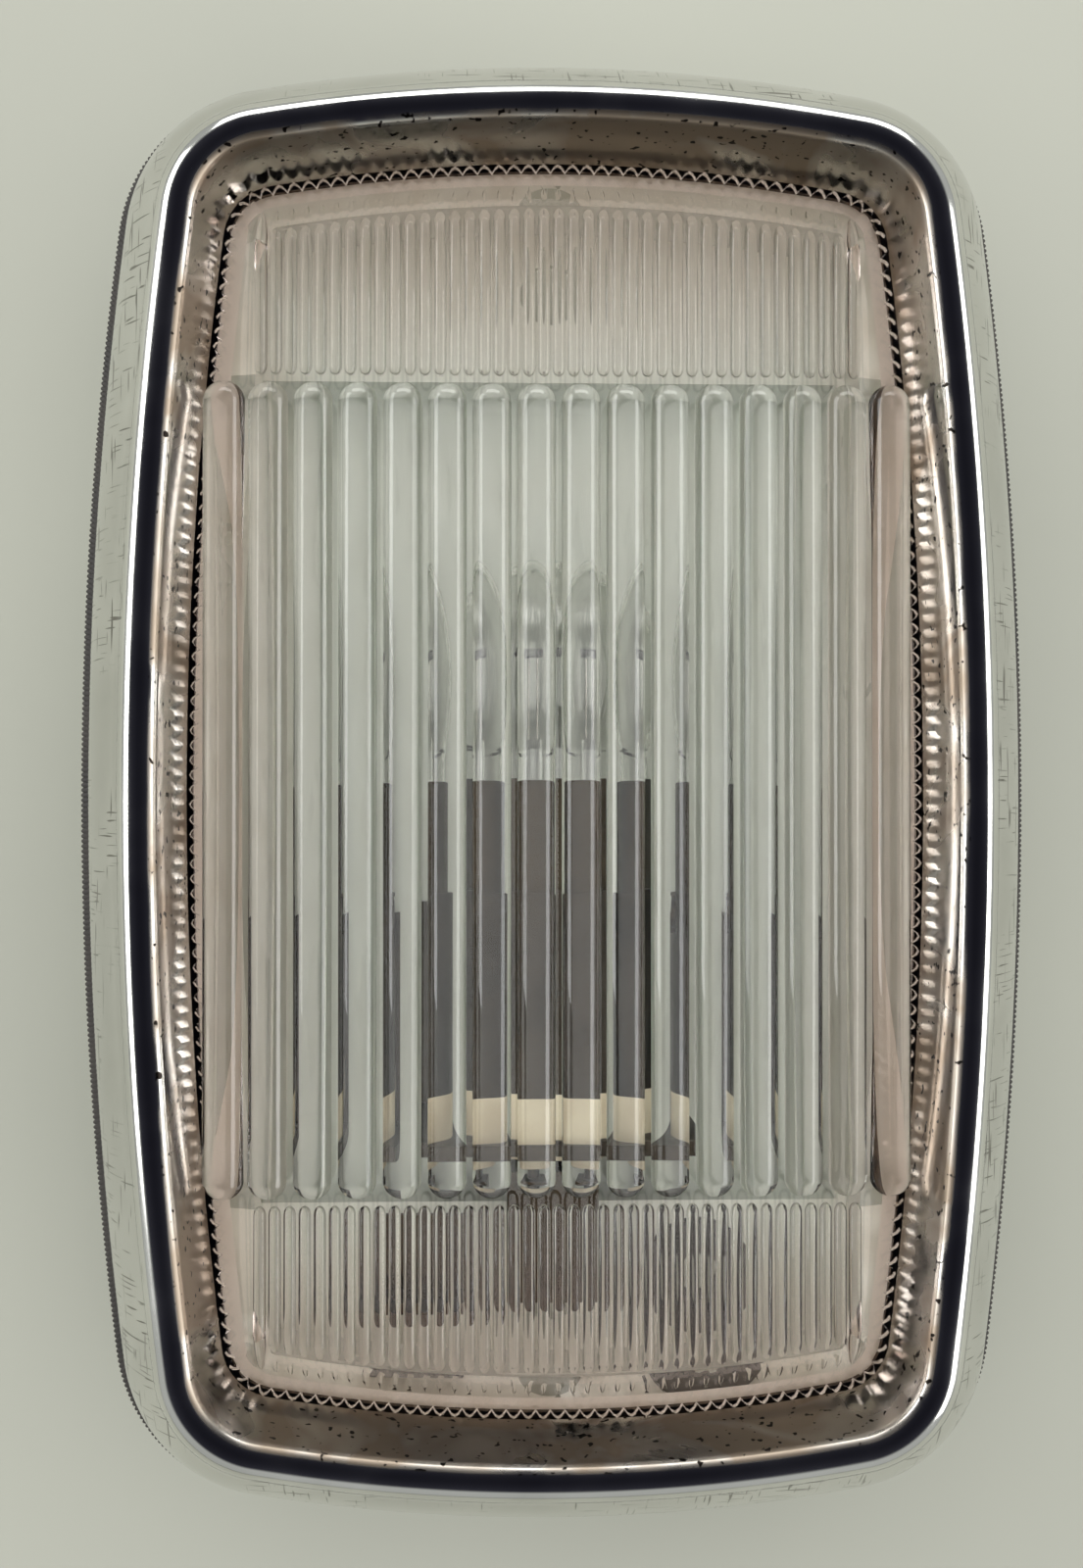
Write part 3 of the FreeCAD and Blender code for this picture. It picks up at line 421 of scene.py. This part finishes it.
def make_bezel():
    """The flared skirt, rounded crown and deep recess wall, swept round the barrel."""
    crown_start = (SKIRT_RUN, SEAT_Z + SKIRT_RISE)
    lip = (SKIRT_RUN + CROWN_WIDTH, LIP_Z)
    foot = (lip[0] + RECESS_DRAFT, LIP_Z - RECESS_DEPTH)
    skirt = arc_between((0, SEAT_Z), crown_start, SKIRT_BOW_RADIUS, SECTION_STEPS["skirt"])
    crown = arc_between(crown_start, lip, CROWN_RADIUS, SECTION_STEPS["crown"])
    wall_steps = SECTION_STEPS["wall"]
    wall = [Vector(lip).lerp(Vector(foot), step / wall_steps) for step in range(wall_steps + 1)]
    back = [
        Vector((foot[0] - BEZEL_WALL, foot[1])),
        Vector((lip[0] - BEZEL_WALL, LIP_Z - BEZEL_WALL)),
        Vector((SKIRT_RUN + BEZEL_WALL, SEAT_Z + SKIRT_RISE - BEZEL_WALL)),
        Vector((BEZEL_WALL, SEAT_Z)),
    ]
    section = skirt + crown + wall + back
    wall_start = len(skirt) + len(crown)
    on_skirt = range(len(skirt) + SCRATCHED_CROWN_STEPS)
    on_wall = range(wall_start - BLOOMED_CROWN_STEPS, wall_start + len(wall))
    bm = bmesh.new()
    skirt_layer = bm.verts.layers.float.new("skirt")
    wall_layer = bm.verts.layers.float.new("wall")
    rings = []
    for place, point in enumerate(section):
        ring = [bm.verts.new((*p, point.y)) for p in barrel(point.x)]
        for vert in ring:
            vert[skirt_layer] = float(place in on_skirt)
            vert[wall_layer] = float(place in on_wall)
        rings.append(ring)
    skin_rings(bm, rings, closed=True)
    piece = new_piece("bezel_chrome", bm, CHROME, sharp_deg=40)
    hand_over(piece, "chrome_plate", "bezel")


def skin_rings(bm, rings, closed):
    """Quads between neighbouring rings of equal counts."""
    pairs = list(zip(rings, rings[1:]))
    if closed:
        pairs.append((rings[-1], rings[0]))
    for low, high in pairs:
        count = len(low)
        for i in range(count):
            j = (i + 1) % count
            bm.faces.new((low[i], low[j], high[j], high[i]))


# Rows of ribs, grown by a node tree; the ball's middle ring counts as its far half
MIDDLE_MARGIN = 1e-4


def rib_row_tree():
    """A row of round-backed ribs along Y, side by side along X, their far ends on an arc."""
    tree = bpy.data.node_groups.new("rib_row", "GeometryNodeTree")
    face = tree.interface
    face.new_socket("Geometry", in_out="OUTPUT", socket_type="NodeSocketGeometry")
    face.new_socket("Count", in_out="INPUT", socket_type="NodeSocketInt")
    for name in ("Pitch", "Radius", "Height", "Near End", "Far End", "Far Arc Radius", "Near Length",
                 "Far Length", "Far Drop"):
        face.new_socket(name, in_out="INPUT", socket_type="NodeSocketFloat")
    face.new_socket("Material", in_out="INPUT", socket_type="NodeSocketMaterial")
    given = tree.nodes.new("NodeGroupInput").outputs
    ball = tree.nodes.new("GeometryNodeMeshUVSphere")
    ball.inputs["Segments"].default_value = 28
    ball.inputs["Rings"].default_value = 18
    ball.inputs["Radius"].default_value = 1.0
    lay = tree.nodes.new("GeometryNodeTransform")
    lay.inputs["Rotation"].default_value = (math.pi / 2, 0, 0)
    tree.links.new(ball.outputs["Mesh"], lay.inputs["Geometry"])
    thin = tree.nodes.new("GeometryNodeTransform")
    across = tree.nodes.new("ShaderNodeCombineXYZ")
    across.inputs["Y"].default_value = 1.0
    tree.links.new(given["Radius"], across.inputs["X"])
    tree.links.new(given["Radius"], across.inputs["Z"])
    tree.links.new(lay.outputs["Geometry"], thin.inputs["Geometry"])
    tree.links.new(across.outputs["Vector"], thin.inputs["Scale"])
    row = tree.nodes.new("GeometryNodeMeshLine")
    row.mode = "OFFSET"
    first = tree.nodes.new("ShaderNodeCombineXYZ")
    step = tree.nodes.new("ShaderNodeCombineXYZ")
    half_gaps = math_node(tree, "MULTIPLY", math_node(tree, "SUBTRACT", given["Count"], 1), -0.5)
    tree.links.new(math_node(tree, "MULTIPLY", half_gaps, given["Pitch"]), first.inputs["X"])
    tree.links.new(given["Pitch"], step.inputs["X"])
    tree.links.new(given["Count"], row.inputs["Count"])
    tree.links.new(first.outputs["Vector"], row.inputs["Start Location"])
    tree.links.new(step.outputs["Vector"], row.inputs["Offset"])
    copies = tree.nodes.new("GeometryNodeInstanceOnPoints")
    tree.links.new(row.outputs["Mesh"], copies.inputs["Points"])
    tree.links.new(thin.outputs["Geometry"], copies.inputs["Instance"])
    real = tree.nodes.new("GeometryNodeRealizeInstances")
    tree.links.new(copies.outputs["Instances"], real.inputs["Geometry"])
    where = tree.nodes.new("ShaderNodeSeparateXYZ")
    tree.links.new(tree.nodes.new("GeometryNodeInputPosition").outputs["Position"], where.inputs["Vector"])
    x, y, z = (where.outputs[axis] for axis in "XYZ")
    arc = given["Far Arc Radius"]
    fall = math_node(tree, "SQRT", math_node(
        tree, "SUBTRACT", math_node(tree, "MULTIPLY", arc, arc), math_node(tree, "MULTIPLY", x, x)))
    far = math_node(tree, "ADD", given["Far End"], math_node(tree, "SUBTRACT", fall, arc))
    far_y = math_node(tree, "MULTIPLY_ADD", math_node(tree, "SUBTRACT", y, 1), given["Far Length"], far)
    near_y = math_node(
        tree, "MULTIPLY_ADD", math_node(tree, "ADD", y, 1), given["Near Length"], given["Near End"])
    ahead = math_node(tree, "GREATER_THAN", y, -MIDDLE_MARGIN)
    far_part = math_node(tree, "MULTIPLY", far_y, ahead)
    near_part = math_node(tree, "MULTIPLY", near_y, math_node(tree, "SUBTRACT", 1, ahead))
    place = tree.nodes.new("ShaderNodeCombineXYZ")
    tree.links.new(x, place.inputs["X"])
    tree.links.new(math_node(tree, "ADD", far_part, near_part), place.inputs["Y"])
    fallen = math_node(tree, "MULTIPLY", math_node(tree, "MAXIMUM", y, 0), given["Far Drop"])
    level = math_node(tree, "SUBTRACT", given["Height"], fallen)
    tree.links.new(math_node(tree, "ADD", z, level), place.inputs["Z"])
    drawn = tree.nodes.new("GeometryNodeSetPosition")
    tree.links.new(real.outputs["Geometry"], drawn.inputs["Geometry"])
    tree.links.new(place.outputs["Vector"], drawn.inputs["Position"])
    coat = tree.nodes.new("GeometryNodeSetMaterial")
    tree.links.new(drawn.outputs["Geometry"], coat.inputs["Geometry"])
    tree.links.new(given["Material"], coat.inputs["Material"])
    tree.links.new(coat.outputs["Geometry"], tree.nodes.new("NodeGroupOutput").inputs["Geometry"])
    return tree


def grown(name, tree, **sizes):
    """The plain mesh that a node tree makes from the given sizes."""
    holder = bpy.data.objects.new(name, bpy.data.meshes.new(name))
    bpy.context.scene.collection.objects.link(holder)
    modifier = holder.modifiers.new(name, "NODES")
    modifier.node_group = tree
    wanted = {key.replace("_", " "): value for key, value in sizes.items()}
    for item in tree.interface.items_tree:
        if item.in_out == "INPUT" and item.name in wanted:
            modifier[item.identifier] = wanted[item.name]
    graph = bpy.context.evaluated_depsgraph_get()
    mesh = bpy.data.meshes.new_from_object(holder.evaluated_get(graph), depsgraph=graph)
    holder.modifiers.remove(modifier)
    bpy.data.objects.remove(holder)
    return mesh


# Lens

def make_lens_plate():
    """The flat-backed plate: hidden lip, toothed flange and the raised block with its sloped edge."""
    teeth = round(outline_run(barrel(LENS_RIM_INSET)) / TOOTH_PITCH)
    bm = bmesh.new()
    rings = [notched_ring(bm, inset, height, teeth, depth) for inset, height, depth in (
        (LENS_LIP_INSET, LENS_SEAT_Z, 0.0),
        (LENS_LIP_INSET, LIP_TOP_Z, 0.0),
        (LENS_RIM_INSET, LIP_TOP_Z, TOOTH_DEPTH),
        (LENS_RIM_INSET, FLANGE_Z, TOOTH_DEPTH),
        (BLOCK_FOOT_INSET, FLANGE_Z, 0.0),
        (BLOCK_TOP_INSET, BLOCK_Z, 0.0),
    )]
    skin_rings(bm, rings, closed=False)
    bm.faces.new(reversed(rings[0]))
    bm.faces.new(rings[-1])
    return new_piece("lens_plate", bm, LENS)


def other_end(mesh):
    """A copy of a mesh mirrored to the other end of the lamp."""
    copy = mesh.copy()
    copy.transform(((1, 0, 0, 0), (0, -1, 0, 0), (0, 0, 1, 0), (0, 0, 0, 1)))
    copy.flip_normals()
    return copy


def make_lens():
    """Plate, sixteen round bars and the two fields of fine ribs joined to one clear moulding."""
    tree = rib_row_tree()
    plate = make_lens_plate()
    bars = grown("bars", tree, Count=BAR_COUNT, Pitch=BAR_PITCH, Radius=BAR_RADIUS,
                 Height=BLOCK_Z - BAR_SHOULDER, Near_End=-BAR_HALF_LENGTH,
                 Far_End=BAR_HALF_LENGTH, Far_Arc_Radius=STRAIGHT_ARC, Near_Length=BAR_RADIUS,
                 Far_Length=BAR_RADIUS, Far_Drop=0.0, Material=LENS)
    far_end = HALF_LENGTH - RIB_END_INSET
    ribs = grown("ribs", tree, Count=RIB_COUNT, Pitch=RIB_PITCH, Radius=RIB_RADIUS,
                 Height=BLOCK_Z, Near_End=BAR_HALF_LENGTH + RIB_GAP, Far_End=far_end,
                 Far_Arc_Radius=END_RADIUS - RIB_END_INSET, Near_Length=RIB_POINT * RIB_RADIUS,
                 Far_Length=RIB_SLOPE, Far_Drop=RIB_DROP, Material=LENS)
    parts = [as_piece(name, mesh, LENS) for name, mesh in
             (("lens_bars", bars), ("lens_ribs_top", ribs), ("lens_ribs_foot", other_end(ribs)))]
    for part in parts:
        union = plate.modifiers.new(part.name, "BOOLEAN")
        union.operation = "UNION"
        union.solver = "EXACT"
        union.use_self = True
        union.object = part
    graph = bpy.context.evaluated_depsgraph_get()
    mesh = bpy.data.meshes.new_from_object(plate.evaluated_get(graph), depsgraph=graph)
    mesh.validate()
    plate.modifiers.clear()
    for spent in parts + [plate]:
        bpy.data.objects.remove(spent)
    piece = as_piece("lens_moulding", mesh, LENS, sharp_deg=35)
    hand_over(piece, "lens_clear", "lens")


# Gasket

def make_gasket():
    """The rubber ring under the bezel with its finely corded edge."""
    cords = round(outline_run(barrel(-GASKET_EDGE)) / CORD_PITCH)
    inner = GASKET_RING - GASKET_EDGE
    bm = bmesh.new()
    rings = [notched_ring(bm, inset, height, cords, depth) for inset, height, depth in (
        (-GASKET_EDGE, PANEL_Z, CORD_DEPTH),
        (-GASKET_EDGE, SEAT_Z - GASKET_BEVEL, CORD_DEPTH),
        (-GASKET_EDGE + GASKET_BEVEL, SEAT_Z, CORD_DEPTH),
        (inner, SEAT_Z, 0.0),
        (inner, PANEL_Z, 0.0),
    )]
    skin_rings(bm, rings, closed=True)
    piece = new_piece("gasket_ring", bm, FINISHES["gasket_rubber"], sharp_deg=50)
    hand_over(piece, "gasket_rubber", "base_gasket")


# Filament

def coil_tree():
    """A close coil of wire about the Z axis."""
    tree = bpy.data.node_groups.new("wire_coil", "GeometryNodeTree")
    face = tree.interface
    face.new_socket("Geometry", in_out="OUTPUT", socket_type="NodeSocketGeometry")
    for name in ("Turns", "Radius", "Length", "Wire Radius"):
        face.new_socket(name, in_out="INPUT", socket_type="NodeSocketFloat")
    face.new_socket("Material", in_out="INPUT", socket_type="NodeSocketMaterial")
    given = tree.nodes.new("NodeGroupInput").outputs
    spiral = tree.nodes.new("GeometryNodeCurveSpiral")
    spiral.inputs["Resolution"].default_value = 20
    tree.links.new(given["Turns"], spiral.inputs["Rotations"])
    tree.links.new(given["Radius"], spiral.inputs["Start Radius"])
    tree.links.new(given["Radius"], spiral.inputs["End Radius"])
    tree.links.new(given["Length"], spiral.inputs["Height"])
    round_wire = tree.nodes.new("GeometryNodeCurvePrimitiveCircle")
    round_wire.inputs["Resolution"].default_value = 8
    tree.links.new(given["Wire Radius"], round_wire.inputs["Radius"])
    drawn = tree.nodes.new("GeometryNodeCurveToMesh")
    drawn.inputs["Fill Caps"].default_value = True
    tree.links.new(spiral.outputs["Curve"], drawn.inputs["Curve"])
    tree.links.new(round_wire.outputs["Curve"], drawn.inputs["Profile Curve"])
    real = tree.nodes.new("GeometryNodeRealizeInstances")
    tree.links.new(drawn.outputs["Mesh"], real.inputs["Geometry"])
    coat = tree.nodes.new("GeometryNodeSetMaterial")
    tree.links.new(real.outputs["Geometry"], coat.inputs["Geometry"])
    tree.links.new(given["Material"], coat.inputs["Material"])
    tree.links.new(coat.outputs["Geometry"], tree.nodes.new("NodeGroupOutput").inputs["Geometry"])
    return tree


def make_filament():
    """The wound wire between the two supports, laid along X."""
    low, high = (Vector(corner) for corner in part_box("filament"))
    length = high.x - low.x - 2 * COIL_WIRE
    coil = grown("coil", coil_tree(), Turns=length / COIL_PITCH, Radius=(high.y - low.y) / 2 - COIL_WIRE,
                 Length=length, Wire_Radius=COIL_WIRE, Material=FINISHES["filament_wire"])
    start = Vector((low.x + COIL_WIRE, (low.y + high.y) / 2, (low.z + high.z) / 2))
    coil.transform(Matrix.Translation(start) @ Matrix.Rotation(math.pi / 2, 4, "Y"))
    piece = as_piece("filament_coil", coil, FINISHES["filament_wire"])
    hand_over(piece, "filament_wire", "filament")


make_bezel()
make_lens()
make_gasket()
make_filament()

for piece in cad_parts.values():
    for spot in piece.material_slots:
        for slot_name, finish in FINISHES.items():
            if slot_name in spot.name:
                spot.material = finish


# Stage, light and camera

FLOOR_Z = cad_bounds[0][2]
FLOOR_REACH = 3.0
floor_mesh = bpy.data.meshes.new("floor")
floor_corners = [
    (x * FLOOR_REACH, y * FLOOR_REACH, FLOOR_Z) for x, y in ((-1, -1), (1, -1), (1, 1), (-1, 1))]
floor_mesh.from_pydata(floor_corners, [], [(0, 1, 2, 3)])
floor = bpy.data.objects.new("floor", floor_mesh)
bpy.context.scene.collection.objects.link(floor)
floor_paint = painted("pale_floor", (0.37, 0.375, 0.32), (0.34, 0.345, 0.295), 0.85, 0.0, 14, 0.0)
floor_mesh.materials.append(floor_paint)


def softbox(name, place, size, power, in_mirrors=True):
    """A soft area light turned to the lamp; one that is flagged off doesn't show in mirrors."""
    light = bpy.data.lights.new(name, "AREA")
    light.shape = "RECTANGLE"
    light.size, light.size_y = size
    light.energy = power
    lamp = bpy.data.objects.new(name, light)
    lamp.location = place
    lamp.visible_glossy = in_mirrors
    lamp.rotation_euler = (Vector((0, 0, 0.01)) - Vector(place)).to_track_quat("-Z", "Y").to_euler()
    bpy.context.scene.collection.objects.link(lamp)


softbox("window_left", (-0.70, 0.20, 0.34), (0.9, 0.30), 4.0)
softbox("window_right", (0.70, -0.10, 0.34), (0.9, 0.30), 3.5)
softbox("window_far", (0.05, 0.75, 0.36), (0.9, 0.30), 3.5)
softbox("ceiling", (0.0, 0.05, 0.80), (1.0, 1.0), 7.8, in_mirrors=False)

world = bpy.data.worlds.new("room")
bpy.context.scene.world = world
world.use_nodes = True
room = world.node_tree
heights = room.nodes.new("ShaderNodeSeparateXYZ")
room.links.new(room.nodes.new("ShaderNodeTexCoord").outputs["Generated"], heights.inputs["Vector"])
walls = ramp(room, heights.outputs["Z"], (0.0, (0.80, 0.82, 0.80)), (0.50, (0.86, 0.88, 0.86)),
             (0.66, (0.05, 0.05, 0.07)), (1.0, (0.02, 0.02, 0.03)))
room.links.new(walls, room.nodes["Background"].inputs["Color"])
room.nodes["Background"].inputs["Strength"].default_value = 0.6

EYE = Vector((-6 * MM, -1 * MM, 150 * MM))
AIM = Vector((-1.0 * MM, 0.4 * MM, 13 * MM))
camera_data = bpy.data.cameras.new("camera")
camera_data.lens = 47.6
camera_data.clip_start = 0.005
camera = bpy.data.objects.new("camera", camera_data)
camera.location = EYE
back = (EYE - AIM).normalized()
right = Vector((0, 1, 0)).cross(back).normalized()
camera.rotation_euler = Matrix((right, back.cross(right), back)).transposed().to_euler()
bpy.context.scene.collection.objects.link(camera)
bpy.context.scene.camera = camera
bpy.context.scene.view_settings.view_transform = "Standard"
